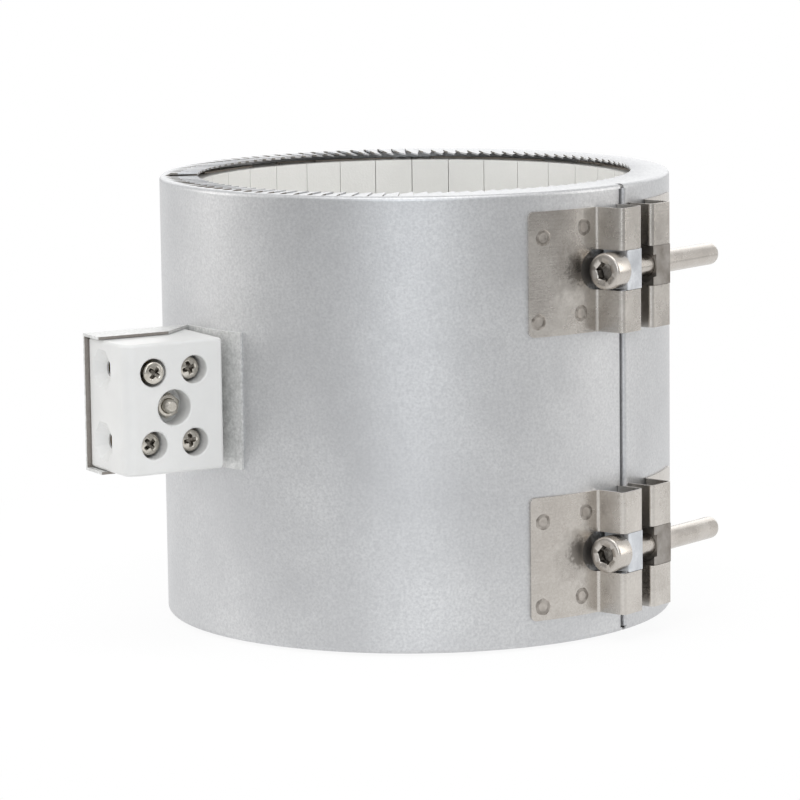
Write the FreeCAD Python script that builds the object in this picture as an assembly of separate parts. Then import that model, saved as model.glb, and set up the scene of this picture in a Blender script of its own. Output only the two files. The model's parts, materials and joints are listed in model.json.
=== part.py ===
import FreeCAD, Part
import math
import os
from FreeCAD import Vector

# A ceramic band heater for a machine barrel. A one-piece sheet housing with serrated, folded-in
# edges holds a fibre blanket, a mat of ceramic tiles and the heating coil strung through them.
# Two bar clamps pull the housing's ends together, and a ceramic terminal block sits on a bracket.
# Z is the bore's axis and the origin is its middle. An azimuth is in degrees, from -Y towards +X.
# Sizes are in millimetres.

# The band, from the bore outwards
bore_radius = 80.0
band_width = 162.5
tile_thickness = 10.5
blanket_thickness = 3.3
sheet = 0.6
gap_azimuth = 51.7
gap_width = 2.0
end_bend_radius = 1.5
end_flange_clearance = 2.0

# The serrated edges, folded inwards over the tiles
fold_radius = 1.5
fold_steps = 3
fold_flat = 0.5
tab_count = 105
tab_slit = 0.3
tab_rise = 0.65
tab_dip = 1.2
tab_bore_clearance = 0.3
lifted_tab_azimuth = 275.0
lifted_tab_rise = 1.5

# The tile mat and its coil
column_pitch = 10.24
seam_azimuth = 180.6
column_gap = 0.25
tile_rows = 3
tile_end_clearance = 1.45
groove_width = 4.4
groove_depth = 5.5
coil_radius = 1.2
coil_clearance = 0.1
coil_strand_spacing = 3.0
coil_wire = 0.6
lead_column = 24

# The terminal block and its bracket
terminal_height = 6.5
bracket_sheet = 1.0
bracket_flange_angle = 19.4
bracket_overhang = 1.5
tray_depth = 13.0
tray_slant = 13.5
tray_clearance = 0.2
block_standoff = 2.1
block_length = 38.5
block_depth = 29.8
block_height = 47.0
block_corner = 3.0
pole_spacing = 26.0
pole_depth = 11.0
pole_radius = 4.5
pole_bore_radius = 3.2
pole_recess = 3.5
pole_clearance = 0.1
entry_width = 12.8
entry_depth = 4.0
bush_radius = 2.5
bush_bore_radius = 1.0
bush_clearance = 0.2
lead_radius = 0.8
lead_beside_pole = 1.5
screw_spacing = 16.0
screw_well_radius = 5.0
screw_head_depth = 6.6
fixing_well_radius = 6.4
fixing_well_depth = 9.0

# M4 terminal screws and the M5 screw and nut that hold the block
terminal_thread_radius = 2.0
terminal_head_radius = 4.0
terminal_head_height = 2.6
supply_tip_clearance = 0.8
slack_screw = 2
slack_travel = 5.0
fixing_thread_radius = 2.5
fixing_head_radius = 4.4
fixing_head_height = 3.0
fixing_nut_flats = 8.0
fixing_nut_height = 4.0
fixing_screw_proud = 3.0
thread_clearance = 0.05
through_clearance = 0.4

# The bar clamps
upper_clamp_inset = 29.05
lower_clamp_inset = 31.75
strap_sheet = 0.8
strap_height = 44.4
strap_far_angle = 27.0
strap_corner = 2.0
strap_bend = 1.2
strap_lead_in = 2.5
loop_foot = 15.2
loop_height = 11.0
loop_spacing = 5.6
loop_foot_clearance = 0.1
slot_width = 14.4
slot_reach = 22.6
bar_width = 10.5
bar_length = 38.0
bar_lift = 0.3
bar_clearance = 0.1
bar_notch = 1.8
bar_recess_radius = 6.2
bar_recess_depth = 1.8
clamp_screw_height = 6.2

# M8 clamp screws
clamp_thread_radius = 4.0
clamp_screw_length = 60.0
clamp_head_radius = 6.5
clamp_head_height = 8.0
clamp_head_edge = 0.8
clamp_socket_flats = 6.0
clamp_socket_depth = 4.0
clamp_tip_edge = 1.2
clamp_hole_clearance = 0.15

# How far a cutting shape stands past the face that it opens
overcut = 1.0

# Worked out from the sizes above
shell_radius = bore_radius + tile_thickness + blanket_thickness + sheet
tile_back = bore_radius + tile_thickness
half_band = band_width / 2
tab_root = shell_radius - fold_radius - fold_flat
fold_start = math.degrees(math.asin((gap_width / 2) / tab_root))
tile_start = math.degrees(math.asin((gap_width / 2 + sheet + column_gap) / bore_radius))
tile_top = half_band - sheet - tab_dip - tile_end_clearance
tile_bottom = -tile_top
tile_height = (tile_top - tile_bottom) / tile_rows
first_seam = (seam_azimuth - gap_azimuth - tile_start) % column_pitch + tile_start
full_columns = int((360 - tile_start - first_seam) // column_pitch)
groove_floor = tile_back - groove_depth
inner_strand = groove_floor + coil_radius + coil_clearance
outer_strand = inner_strand + coil_strand_spacing
lead_azimuth = gap_azimuth + first_seam + (lead_column + 0.5) * column_pitch
bracket_height = block_height + 2 * tray_clearance + 2 * bracket_sheet
block_inner_end = shell_radius + block_standoff
block_middle = block_inner_end + block_length / 2
block_front = bracket_sheet + block_depth
pole_offset = bracket_sheet + pole_depth
lead_offset = pole_offset + lead_beside_pole
lead_angle = math.degrees(math.asin(lead_offset / inner_strand))
terminal_azimuth = lead_azimuth - lead_angle
lead_heights = {"upper": terminal_height + pole_spacing / 2, "lower": terminal_height - pole_spacing / 2}
bar_outer_face = -(loop_spacing / 2 + strap_sheet + bar_width)
loop_crest = shell_radius + loop_height
clamp_screw_axis = shell_radius + clamp_screw_height
clamp_heights = {"upper": half_band - upper_clamp_inset, "lower": lower_clamp_inset - half_band}
screw_seat = bar_outer_face + bar_notch


def polar(radius, azimuth, z=0.0):
    angle = math.radians(azimuth)
    return Vector(radius * math.sin(angle), -radius * math.cos(angle), z)


def turned(shape, azimuth):
    copy = shape.copy()
    copy.rotate(Vector(0, 0, 0), Vector(0, 0, 1), azimuth)
    return copy


def raised(shape, height):
    copy = shape.copy()
    copy.translate(Vector(0, 0, height))
    return copy


def polygon(points):
    return Part.Face(Part.makePolygon(list(points) + [points[0]]))


def lines(points):
    return [Part.makeLine(a, b) for a, b in zip(points, points[1:])]


def closed_face(edges):
    return Part.Face(Part.Wire(Part.__sortEdges__(edges)))


def sewn_solid(faces):
    shell = Part.makeShell(faces)
    shell.sewShape()
    solid = Part.makeSolid(shell)
    if solid.Volume < 0:
        solid.reverse()
    return solid


def box_between(low, high):
    return Part.makeBox(high[0] - low[0], high[1] - low[1], high[2] - low[2], Vector(*low))


def ring_sector(inner, outer, start, end, low, high):
    middle = (start + end) / 2
    edges = [
        Part.Arc(polar(inner, start, low), polar(inner, middle, low), polar(inner, end, low)).toShape(),
        Part.Arc(polar(outer, start, low), polar(outer, middle, low), polar(outer, end, low)).toShape(),
        Part.makeLine(polar(inner, start, low), polar(outer, start, low)),
        Part.makeLine(polar(inner, end, low), polar(outer, end, low)),
    ]
    return closed_face(edges).extrude(Vector(0, 0, high - low))


def rounded_path(points, radii):
    # A path of straight runs with a tangent arc at each inner point
    edges = []
    start = points[0]
    for before, corner, after, radius in zip(points, points[1:], points[2:], radii):
        arrive = (corner - before).normalize()
        leave = (after - corner).normalize()
        turn = math.acos(max(-1.0, min(1.0, arrive.dot(leave))))
        reach = radius * math.tan(turn / 2)
        first = corner - arrive * reach
        last = corner + leave * reach
        inward = (leave - arrive).normalize()
        centre = corner + inward * (radius / math.cos(turn / 2))
        edges.append(Part.makeLine(start, first))
        edges.append(Part.Arc(first, centre - inward * radius, last).toShape())
        start = last
    edges.append(Part.makeLine(start, points[-1]))
    return edges


def offset_path(points, distance):
    # The same path moved to its right-hand side by a distance
    moved = []
    sides = []
    for a, b in zip(points, points[1:]):
        along = (b - a).normalize()
        sides.append(Vector(along.y, -along.x, 0) * distance)
    moved.append(points[0] + sides[0])
    for point, before, after in zip(points[1:], sides, sides[1:]):
        both = before + after
        moved.append(point + both * (2 * distance ** 2 / both.dot(both)))
    moved.append(points[-1] + sides[-1])
    return moved


def bent_sheet(points, thickness, bend, height):
    # A strip bent along a path: the sheet lies on the path's right-hand side
    outer_radii = []
    inner_radii = []
    for before, corner, after in zip(points, points[1:], points[2:]):
        right_turn = (corner - before).cross(after - corner).z < 0
        outer_radii.append(bend + thickness if right_turn else bend)
        inner_radii.append(bend if right_turn else bend + thickness)
    inside = offset_path(points, thickness)
    edges = rounded_path(points, outer_radii) + rounded_path(inside, inner_radii)
    edges.append(Part.makeLine(points[0], inside[0]))
    edges.append(Part.makeLine(points[-1], inside[-1]))
    return closed_face(edges).extrude(Vector(0, 0, height))


def hexagon_prism(flats, base, direction):
    corner = flats / math.sqrt(3)
    points = []
    for step in range(6):
        angle = math.radians(60 * step)
        points.append(Vector(corner * math.cos(angle), corner * math.sin(angle), 0))
    prism = polygon(points).extrude(Vector(0, 0, direction.Length))
    prism.Placement = FreeCAD.Placement(base, FreeCAD.Rotation(Vector(0, 0, 1), direction))
    return prism


def half_wall_path(radius, bend, wall_x, flange_end):
    # From the end flange's inner edge, round its bend and along the barrel to the far side
    centre = Vector(wall_x + bend, -math.sqrt((radius - bend) ** 2 - (wall_x + bend) ** 2), 0)
    outward = Vector(centre).normalize()
    corner = Vector(wall_x, centre.y, 0)
    between = (outward + Vector(-1, 0, 0)).normalize()
    tangent = centre + outward * bend
    return [
        Part.makeLine(Vector(wall_x, -flange_end, 0), corner),
        Part.Arc(corner, centre + between * bend, tangent).toShape(),
        Part.Arc(tangent, Vector(radius, 0, 0), Vector(0, radius, 0)).toShape(),
    ]


def housing_wall():
    # The barrel of the housing, with its ends bent inwards as flanges that face the gap
    flange_end = bore_radius + end_flange_clearance
    outer_x = gap_width / 2
    inner_x = outer_x + sheet
    half = half_wall_path(shell_radius, end_bend_radius, outer_x, flange_end)
    half += half_wall_path(shell_radius - sheet, end_bend_radius - sheet, inner_x, flange_end)
    half.append(Part.makeLine(Vector(outer_x, -flange_end, 0), Vector(inner_x, -flange_end, 0)))
    other_half = [edge.mirror(Vector(0, 0, 0), Vector(1, 0, 0)) for edge in half]
    low = -half_band + fold_radius
    return raised(closed_face(half + other_half).extrude(Vector(0, 0, -2 * low)), low)


def edge_fold():
    # The quarter turn from the barrel into the folded edge, in a few flat steps
    centre_r = shell_radius - fold_radius
    centre_z = half_band - fold_radius
    profile = [polar(shell_radius - sheet, fold_start, centre_z)]
    for step in range(fold_steps + 1):
        angle = math.radians(90 * step / fold_steps)
        reach = centre_r + fold_radius * math.cos(angle)
        profile.append(polar(reach, fold_start, centre_z + fold_radius * math.sin(angle)))
    profile.append(polar(centre_r, fold_start, half_band - sheet))
    return polygon(profile).revolve(Vector(0, 0, 0), Vector(0, 0, 1), 360 - 2 * fold_start)


def tab_faces(root_low, root_high, tip_low, tip_high, rise):
    # One tab: level where it leaves the fold, twisted so that its far side stands over the next tab
    down = Vector(0, 0, -sheet)
    tip_low = tip_low + Vector(0, 0, -tab_dip)
    tip_high = tip_high + Vector(0, 0, rise)
    faces = []
    for drop in (Vector(0, 0, 0), down):
        faces.append(polygon([root_low + drop, root_high + drop, tip_high + drop]))
        faces.append(polygon([root_low + drop, tip_high + drop, tip_low + drop]))
    for a, b in ((root_low, tip_low), (tip_low, tip_high), (tip_high, root_high)):
        faces.append(polygon([a, b, b + down, a + down]))
    return faces


def serrated_edge(lifted_azimuth):
    # The flat part of the folded edge and its ring of louvred tabs, sewn into one solid.
    # The tab at the given azimuth stands higher than the rest.
    pitch = (360 - 2 * fold_start) / tab_count
    tip_radius = bore_radius + tab_bore_clearance
    tip_inset = math.degrees(tab_slit / 2 / tip_radius)
    rim = [polar(tab_root, fold_start + index * pitch, half_band) for index in range(tab_count + 1)]
    faces = []
    for index in range(tab_count):
        low = fold_start + index * pitch
        high = low + pitch
        lifted = lifted_azimuth is not None and low <= (lifted_azimuth - gap_azimuth) % 360 < high
        rise = lifted_tab_rise if lifted else tab_rise
        tip_low = polar(tip_radius, low + tip_inset, half_band)
        tip_high = polar(tip_radius, high - tip_inset, half_band)
        faces += tab_faces(rim[index], rim[index + 1], tip_low, tip_high, rise)
    outer = shell_radius - fold_radius
    start = polar(outer, fold_start, half_band)
    middle = polar(outer, 180, half_band)
    end = polar(outer, 360 - fold_start, half_band)
    arcs = [
        Part.Arc(start, polar(outer, 90, half_band), middle).toShape(),
        Part.Arc(middle, polar(outer, 270, half_band), end).toShape(),
    ]
    sides = [Part.makeLine(start, rim[0]), Part.makeLine(end, rim[-1])]
    top = closed_face(arcs + sides + lines(rim))
    faces += [top, raised(top, -sheet)]
    faces += [edge.extrude(Vector(0, 0, -sheet)) for edge in arcs + sides]
    return sewn_solid(faces)


def bush_shape(radius, start, end, height):
    # A round bar along a lead's way out, in the terminal's own directions
    return Part.makeCylinder(radius, end - start, Vector(lead_offset, -start, height), Vector(0, -1, 0))


def housing():
    pieces = [edge_fold(), serrated_edge(lifted_tab_azimuth)]
    pieces += [piece.mirror(Vector(0, 0, 0), Vector(0, 0, 1)) for piece in (edge_fold(), serrated_edge(None))]
    body = turned(housing_wall().fuse(pieces), gap_azimuth)
    start = tile_back * math.cos(math.radians(lead_angle))
    for height in lead_heights.values():
        hole = bush_shape(bush_radius + bush_clearance, start, shell_radius, height)
        body = body.cut(turned(hole, terminal_azimuth))
    return body


def insulation_blanket():
    clear_x = gap_width / 2 + end_bend_radius
    start = math.degrees(math.asin(clear_x / tile_back))
    outer = shell_radius - sheet
    body = turned(ring_sector(tile_back, outer, start, 360 - start, tile_bottom, tile_top), gap_azimuth)
    for height in lead_heights.values():
        hole = bush_shape(bush_radius, tile_back - blanket_thickness, shell_radius, height)
        body = body.cut(turned(hole, terminal_azimuth))
    return body


def tile_outline(start, end, grooved):
    # A tile seen along the bore: curved face to the barrel, flat back with the coil's groove
    inset = math.degrees(column_gap / 2 / bore_radius)
    start += inset
    end -= inset
    middle = (start + end) / 2
    outward = polar(1, middle)
    across = Vector(-outward.y, outward.x, 0) * (groove_width / 2)
    back_plane = outward * (tile_back * math.cos(math.radians((end - start) / 2)))
    corners = [polar(bore_radius, start), polar(bore_radius, end)]
    back = [polar(tile_back, start)]
    if grooved:
        back.append(back_plane - across)
        back.append(outward * groove_floor - across)
        back.append(outward * groove_floor + across)
        back.append(back_plane + across)
    back.append(polar(tile_back, end))
    edges = lines([corners[0]] + back + [corners[1]])
    edges.append(Part.Arc(corners[0], polar(bore_radius, middle), corners[1]).toShape())
    return closed_face(edges)


def tile_row(index):
    base = tile_bottom + index * tile_height
    last_seam = first_seam + full_columns * column_pitch
    outlines = [tile_outline(tile_start, first_seam, False), tile_outline(last_seam, 360 - tile_start, False)]
    for column in range(full_columns):
        start = first_seam + column * column_pitch
        outlines.append(tile_outline(start, start + column_pitch, True))
    tiles = [raised(outline.extrude(Vector(0, 0, tile_height)), base) for outline in outlines]
    return turned(Part.makeCompound(tiles), gap_azimuth)


def coil_route():
    # The order in which the coil threads the columns, with the strand's radius in each.
    # It runs out on every second column and back on the others, on both sides of its leads.
    last = full_columns - 1
    route = [(column, inner_strand) for column in range(lead_column - 2, -1, -2)]
    turn = 1 - route[-1][0] if route else 0
    route += [(column, outer_strand) for column in range(turn, lead_column, 2)]
    out = list(range(lead_column + 1, last + 1, 2))
    route += [(column, outer_strand) for column in out]
    back = [column for column in range(last, lead_column, -1) if column not in out]
    route += [(column, inner_strand) for column in back]
    return route


def coil_place(column, radius):
    return polar(radius, first_seam + (column + 0.5) * column_pitch)


def coil_rod(place, low, high):
    # The coil's outer shape, simplified, where it stands in a column's groove
    corners = [polar(coil_radius, 90 * corner) + place for corner in range(4)]
    return raised(polygon(corners).extrude(Vector(0, 0, high - low)), low)


def coil_link(start, end, height):
    # A straight stretch of wire that crosses the tiles' ends
    along = (end - start).normalize()
    side = Vector(-along.y, along.x, 0) * (coil_wire / 2)
    start = start - along * (coil_wire / 2)
    end = end + along * (coil_wire / 2)
    strip = polygon([start - side, end - side, end + side, start + side])
    return raised(strip.extrude(Vector(0, 0, coil_wire)), height)


def heating_coil():
    heights = lead_heights
    rods = []
    places = []
    stations = [(lead_column, inner_strand)] + coil_route() + [(lead_column, inner_strand)]
    for number, (column, radius) in enumerate(stations):
        low = heights["upper"] - coil_radius if number == len(stations) - 1 else tile_bottom
        high = heights["lower"] + coil_radius if number == 0 else tile_top
        places.append(coil_place(column, radius))
        rods.append(coil_rod(places[-1], low, high))
    for number, (start, end) in enumerate(zip(places, places[1:])):
        height = tile_bottom - coil_wire if number % 2 == 0 else tile_top
        rods.append(coil_link(start, end, height))
    return turned(rods[0].multiFuse(rods[1:]), gap_azimuth)


def lead_pin(height):
    start = inner_strand * math.cos(math.radians(lead_angle)) + coil_radius
    end = block_middle - screw_spacing / 2 + pole_bore_radius
    return turned(bush_shape(lead_radius, start, end, height), terminal_azimuth)


def lead_bush(height):
    reach = tile_back * math.cos(math.radians(lead_angle))
    end = block_inner_end + pole_recess
    tube = bush_shape(bush_radius, reach + bush_clearance, end, height)
    return turned(tube.cut(bush_shape(bush_bore_radius, 0, end, height)), terminal_azimuth)


def terminal_bracket():
    # A flange that follows the housing, an arm that stands out from it, and the tray's two sides
    low = terminal_height - bracket_height / 2
    high = low + bracket_height
    arm_end = block_inner_end + block_length + bracket_overhang
    rim = shell_radius + bracket_sheet
    arm = box_between((0, -arm_end, low), (bracket_sheet, -shell_radius, high))
    flange = ring_sector(shell_radius, rim, 0, bracket_flange_angle, low, high)
    tray = [
        Vector(0, -arm_end, low),
        Vector(tray_depth, -arm_end, low),
        Vector(tray_depth, -(rim + tray_slant), low),
        Vector(bracket_sheet, -rim, low),
        Vector(0, -rim, low),
    ]
    side = polygon(tray).extrude(Vector(0, 0, bracket_sheet))
    body = arm.fuse([flange, side, raised(side, bracket_height - bracket_sheet)])
    hole = Part.makeCylinder(
        fixing_thread_radius + through_clearance, 2 * bracket_sheet,
        Vector(-bracket_sheet / 2, -block_middle, terminal_height), Vector(1, 0, 0))
    body = body.cut(hole)
    start = tile_back * math.cos(math.radians(lead_angle))
    for height in lead_heights.values():
        body = body.cut(bush_shape(bush_radius + bush_clearance, start, rim, height))
    return turned(body.removeSplitter(), terminal_azimuth)


def well(u, z, radius, floor, top):
    return Part.makeCylinder(radius, top - floor, Vector(floor, -u, z), Vector(1, 0, 0))


def entry_corners(width, out, height):
    # The corners of an eight-sided opening round a pole, at a distance from the band's axis
    half_side = math.radians(22.5)
    reach = width / 2 / math.cos(half_side)
    corners = []
    for step in range(8):
        angle = (2 * step + 1) * half_side
        corners.append(Vector(pole_offset + reach * math.cos(angle), -out, height + reach * math.sin(angle)))
    return corners


def wire_entry(height):
    # The eight-sided funnel on the block's outer end
    end = block_inner_end + block_length
    mouth = entry_corners(entry_width, end, height)
    throat = entry_corners(2 * (pole_radius + pole_clearance), end - entry_depth, height)
    faces = [polygon(mouth), polygon(throat)]
    for index in range(8):
        faces.append(polygon([mouth[index - 1], mouth[index], throat[index], throat[index - 1]]))
    return sewn_solid(faces)


def screw_places():
    # Where the four terminal screws stand, from the upper pole's inner end
    places = []
    for height in (lead_heights["upper"], lead_heights["lower"]):
        for u in (block_middle - screw_spacing / 2, block_middle + screw_spacing / 2):
            places.append((u, height))
    return places


def terminal_block():
    low = terminal_height - block_height / 2
    outer = block_inner_end + block_length
    corners = [
        Vector(bracket_sheet, -block_middle, low),
        Vector(bracket_sheet, -outer, low),
        Vector(block_front, -outer, low),
        Vector(block_front, -block_inner_end, low),
        Vector(bracket_sheet, -block_inner_end, low),
        Vector(bracket_sheet, -block_middle, low),
    ]
    small = block_corner / 3
    edges = rounded_path(corners, [small, block_corner, block_corner / 2, small])
    body = closed_face(edges).extrude(Vector(0, 0, block_height))
    cuts = []
    for height in lead_heights.values():
        channel = Part.makeCylinder(
            pole_radius + pole_clearance, block_length + 2 * overcut,
            Vector(pole_offset, -block_inner_end + overcut, height), Vector(0, -1, 0))
        cuts += [channel, wire_entry(height)]
    for u, height in screw_places():
        cuts.append(well(u, height, screw_well_radius, pole_offset, block_front + overcut))
    floor = block_front - fixing_well_depth
    cuts.append(well(block_middle, terminal_height, fixing_well_radius, floor, block_front + overcut))
    cuts.append(well(block_middle, terminal_height, fixing_thread_radius + through_clearance, 0, floor + overcut))
    return turned(body.cut(cuts), terminal_azimuth)


def pole(height):
    start = block_inner_end + pole_recess
    length = block_length - pole_recess - entry_depth
    body = Part.makeCylinder(pole_radius, length, Vector(pole_offset, -start, height), Vector(0, -1, 0))
    cuts = [Part.makeCylinder(pole_bore_radius, length, Vector(pole_offset, -start, height), Vector(0, -1, 0))]
    for u, screw_height in screw_places():
        if screw_height == height:
            cuts.append(well(u, height, terminal_thread_radius + thread_clearance, pole_offset, block_front))
    return turned(body.cut(cuts), terminal_azimuth)


def terminal_screw(number):
    # Driven down on its lead, or near the bottom of the pole's bore where a supply wire goes.
    # One stands backed off, as the photograph shows it.
    u, height = screw_places()[number - 1]
    seat = block_front - screw_head_depth
    tip = lead_offset + lead_radius
    if u > block_middle:
        tip = pole_offset - pole_bore_radius + supply_tip_clearance
    if number == slack_screw:
        seat += slack_travel
        tip += slack_travel
    shank = well(u, height, terminal_thread_radius, tip, seat)
    head = well(u, height, terminal_head_radius, seat, seat + terminal_head_height)
    return turned(shank.fuse(head).removeSplitter(), terminal_azimuth)


def fixing_screw():
    tip = block_front - fixing_well_depth + fixing_nut_height + fixing_screw_proud
    shank = well(block_middle, terminal_height, fixing_thread_radius, 0, tip)
    head = well(block_middle, terminal_height, fixing_head_radius, -fixing_head_height, 0)
    return turned(shank.fuse(head).removeSplitter(), terminal_azimuth)


def fixing_nut():
    floor = block_front - fixing_well_depth
    base = Vector(floor, -block_middle, terminal_height)
    nut = hexagon_prism(fixing_nut_flats, base, Vector(fixing_nut_height, 0, 0))
    hole = well(block_middle, terminal_height, fixing_thread_radius + thread_clearance, floor, block_front)
    return turned(nut.cut(hole), terminal_azimuth)


def strap_slot(low_point):
    # The slot that the screw's head and the bar's pad stand in, round the loop from plate to gap
    half = slot_width / 2
    round_x = -(slot_reach - half)
    base = shell_radius - loop_height
    top = loop_crest + overcut
    plate = Part.makeCylinder(half, top - base, Vector(round_x, -base, 0), Vector(0, -1, 0))
    wall = box_between((round_x, -top, -half), (bar_outer_face + strap_sheet, -base, half))
    crest = box_between((round_x, -top, -half), (0, -clamp_screw_axis, half))
    gap_side = Part.makeCylinder(half, loop_foot, Vector(0, -clamp_screw_axis, 0), Vector(-1, 0, 0))
    return raised(plate.fuse([wall, crest, gap_side]), low_point)


def clamp_strap(height):
    # The strap on the near side of the gap: a plate welded to the housing and its bent loop
    low = height - strap_height / 2
    rim = shell_radius + strap_sheet
    lead_in = math.degrees(math.asin(loop_foot / math.hypot(rim, strap_lead_in)) + math.atan(strap_lead_in / rim))
    start = polar(rim, -lead_in, low)
    along = Vector(-start.y, start.x, 0).normalize()
    foot = start + along * strap_lead_in
    crest_x = bar_outer_face - 2 * bar_clearance - strap_sheet
    gap_x = -loop_spacing / 2
    path = [
        Vector(gap_x, -(shell_radius + loop_foot_clearance), low),
        Vector(gap_x, -loop_crest, low),
        Vector(crest_x, -loop_crest, low),
        foot,
        start,
    ]
    loop = bent_sheet(path, strap_sheet, strap_bend, strap_height)
    plate = ring_sector(shell_radius, rim, -strap_far_angle, -lead_in, low, low + strap_height)
    corners = [edge for edge in plate.Edges if is_far_corner(edge)]
    plate = plate.makeFillet(strap_corner, corners)
    return plate.fuse(loop).removeSplitter().cut(strap_slot(height))


def is_far_corner(edge):
    if len(edge.Vertexes) != 2:
        return False
    ends = [vertex.Point for vertex in edge.Vertexes]
    if abs(ends[0].z - ends[1].z) > 1e-6:
        return False
    azimuths = [math.degrees(math.atan2(end.x, -end.y)) for end in ends]
    return all(abs(azimuth + strap_far_angle) < 1e-3 for azimuth in azimuths)


def runs_along_z(edge):
    start, end = [vertex.Point for vertex in edge.Vertexes]
    return abs(start.x - end.x) < 1e-6 and abs(start.y - end.y) < 1e-6


def bar_recess(height):
    # The round recess that the screw enters the threaded bar by, open through the crest
    floor = bar_outer_face + bar_width - bar_recess_depth
    start = Vector(floor, -clamp_screw_axis, height)
    return Part.makeCylinder(bar_recess_radius, bar_recess_depth + overcut, start, Vector(1, 0, 0))


def clamp_bar(height, hole_radius, notched):
    # A square bar with a pad that fills the strap's slot, bored for the screw
    pad = slot_width / 2 - bar_clearance
    inner_face = bar_outer_face + bar_width
    bottom = shell_radius + bar_lift
    shoulder = loop_crest - strap_sheet - bar_clearance
    bar = box_between(
        (bar_outer_face, -shoulder, height - bar_length / 2),
        (inner_face, -bottom, height + bar_length / 2))
    bar = bar.makeChamfer(strap_bend, [edge for edge in bar.Edges if runs_along_z(edge)])
    pad_root = strap_bend - shoulder
    raised_pad = box_between((bar_outer_face, -loop_crest, height - pad), (inner_face, pad_root, height + pad))
    body = bar.fuse(raised_pad)
    hole = Part.makeCylinder(
        hole_radius, bar_width + 2 * overcut,
        Vector(bar_outer_face - overcut, -clamp_screw_axis, height), Vector(1, 0, 0))
    body = body.cut(hole)
    if notched:
        notch = box_between(
            (bar_outer_face - overcut, -(loop_crest + overcut), height - pad),
            (screw_seat, -(bottom - overcut), height + pad))
        body = body.cut(notch)
    else:
        body = body.cut(bar_recess(height))
    return body.removeSplitter()


def clamp_screw(height):
    axis = Vector(1, 0, 0)
    seat = Vector(screw_seat, -clamp_screw_axis, height)
    shank = Part.makeCylinder(clamp_thread_radius, clamp_screw_length, seat, axis)
    shank = shank.makeChamfer(clamp_tip_edge, [end_edge(shank, screw_seat + clamp_screw_length)])
    head_base = seat - axis * clamp_head_height
    head = Part.makeCylinder(clamp_head_radius, clamp_head_height, head_base, axis)
    head = head.makeChamfer(clamp_head_edge, [end_edge(head, head_base.x)])
    socket = hexagon_prism(clamp_socket_flats, head_base, axis * clamp_socket_depth)
    return head.cut(socket).fuse(shank).removeSplitter()


def end_edge(cylinder, x):
    rounds = [edge for edge in cylinder.Edges if edge.Closed]
    return min(rounds, key=lambda edge: abs(edge.BoundBox.Center.x - x))


def across_gap(shape):
    return shape.mirror(Vector(0, 0, 0), Vector(1, 0, 0))


def clamp_parts(name, height):
    plain_hole = clamp_thread_radius + clamp_hole_clearance
    threaded_hole = clamp_thread_radius + thread_clearance
    strap = clamp_strap(height)
    shapes = {
        "strap_left_" + name: strap,
        "strap_right_" + name: across_gap(strap),
        "plain_bar_" + name: clamp_bar(height, plain_hole, True),
        "threaded_bar_" + name: across_gap(clamp_bar(height, threaded_hole, False)),
        "clamp_screw_" + name: clamp_screw(height),
    }
    return {node: turned(shape, gap_azimuth) for node, shape in shapes.items()}


def all_parts():
    parts = {"housing": housing(), "insulation_blanket": insulation_blanket(), "heating_coil": heating_coil()}
    for index in range(tile_rows):
        parts["tile_row_%d" % (index + 1)] = tile_row(index)
    parts["terminal_bracket"] = terminal_bracket()
    parts["terminal_block"] = terminal_block()
    parts["fixing_screw"] = fixing_screw()
    parts["fixing_nut"] = fixing_nut()
    for name, height in lead_heights.items():
        parts["lead_pin_" + name] = lead_pin(height)
        parts["lead_bush_" + name] = lead_bush(height)
        parts["pole_" + name] = pole(height)
    for number in range(1, len(screw_places()) + 1):
        parts["terminal_screw_%d" % number] = terminal_screw(number)
    for name, height in clamp_heights.items():
        parts.update(clamp_parts(name, height))
    return parts


os.makedirs("parts", exist_ok=True)
for node, shape in all_parts().items():
    shape.exportStep("parts/" + node + ".step")
    print(node, "valid" if shape.isValid() else "NOT VALID", len(shape.Solids), round(shape.Volume, 1))
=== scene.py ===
import bpy
import bmesh
import json
import math
import random
from mathutils import Matrix, Vector


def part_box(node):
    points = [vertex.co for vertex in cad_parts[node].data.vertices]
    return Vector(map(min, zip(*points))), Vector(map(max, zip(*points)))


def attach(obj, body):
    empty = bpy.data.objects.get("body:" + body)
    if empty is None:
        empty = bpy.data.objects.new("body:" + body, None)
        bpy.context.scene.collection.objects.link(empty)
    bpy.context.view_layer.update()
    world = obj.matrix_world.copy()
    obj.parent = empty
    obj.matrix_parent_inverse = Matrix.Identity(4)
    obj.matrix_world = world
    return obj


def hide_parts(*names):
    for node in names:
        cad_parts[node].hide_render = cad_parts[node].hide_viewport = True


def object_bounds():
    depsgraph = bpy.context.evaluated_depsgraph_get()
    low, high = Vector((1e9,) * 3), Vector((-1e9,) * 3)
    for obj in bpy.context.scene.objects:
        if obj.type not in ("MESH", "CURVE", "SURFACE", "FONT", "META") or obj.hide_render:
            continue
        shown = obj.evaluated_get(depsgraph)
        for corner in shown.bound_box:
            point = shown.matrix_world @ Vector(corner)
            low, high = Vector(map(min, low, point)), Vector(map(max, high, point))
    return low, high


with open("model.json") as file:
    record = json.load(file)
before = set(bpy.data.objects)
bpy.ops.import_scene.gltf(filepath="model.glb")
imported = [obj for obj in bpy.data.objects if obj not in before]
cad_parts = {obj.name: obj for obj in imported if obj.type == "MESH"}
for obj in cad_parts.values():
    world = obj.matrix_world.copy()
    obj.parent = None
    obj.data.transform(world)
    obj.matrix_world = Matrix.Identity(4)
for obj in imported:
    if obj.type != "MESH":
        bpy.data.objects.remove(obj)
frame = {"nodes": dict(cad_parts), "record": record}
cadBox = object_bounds()
cadNodes = frame["nodes"]
print("frame loaded:", len(cadNodes), "nodes")

mm = 0.001
clampNames = ("upper", "lower")

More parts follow.
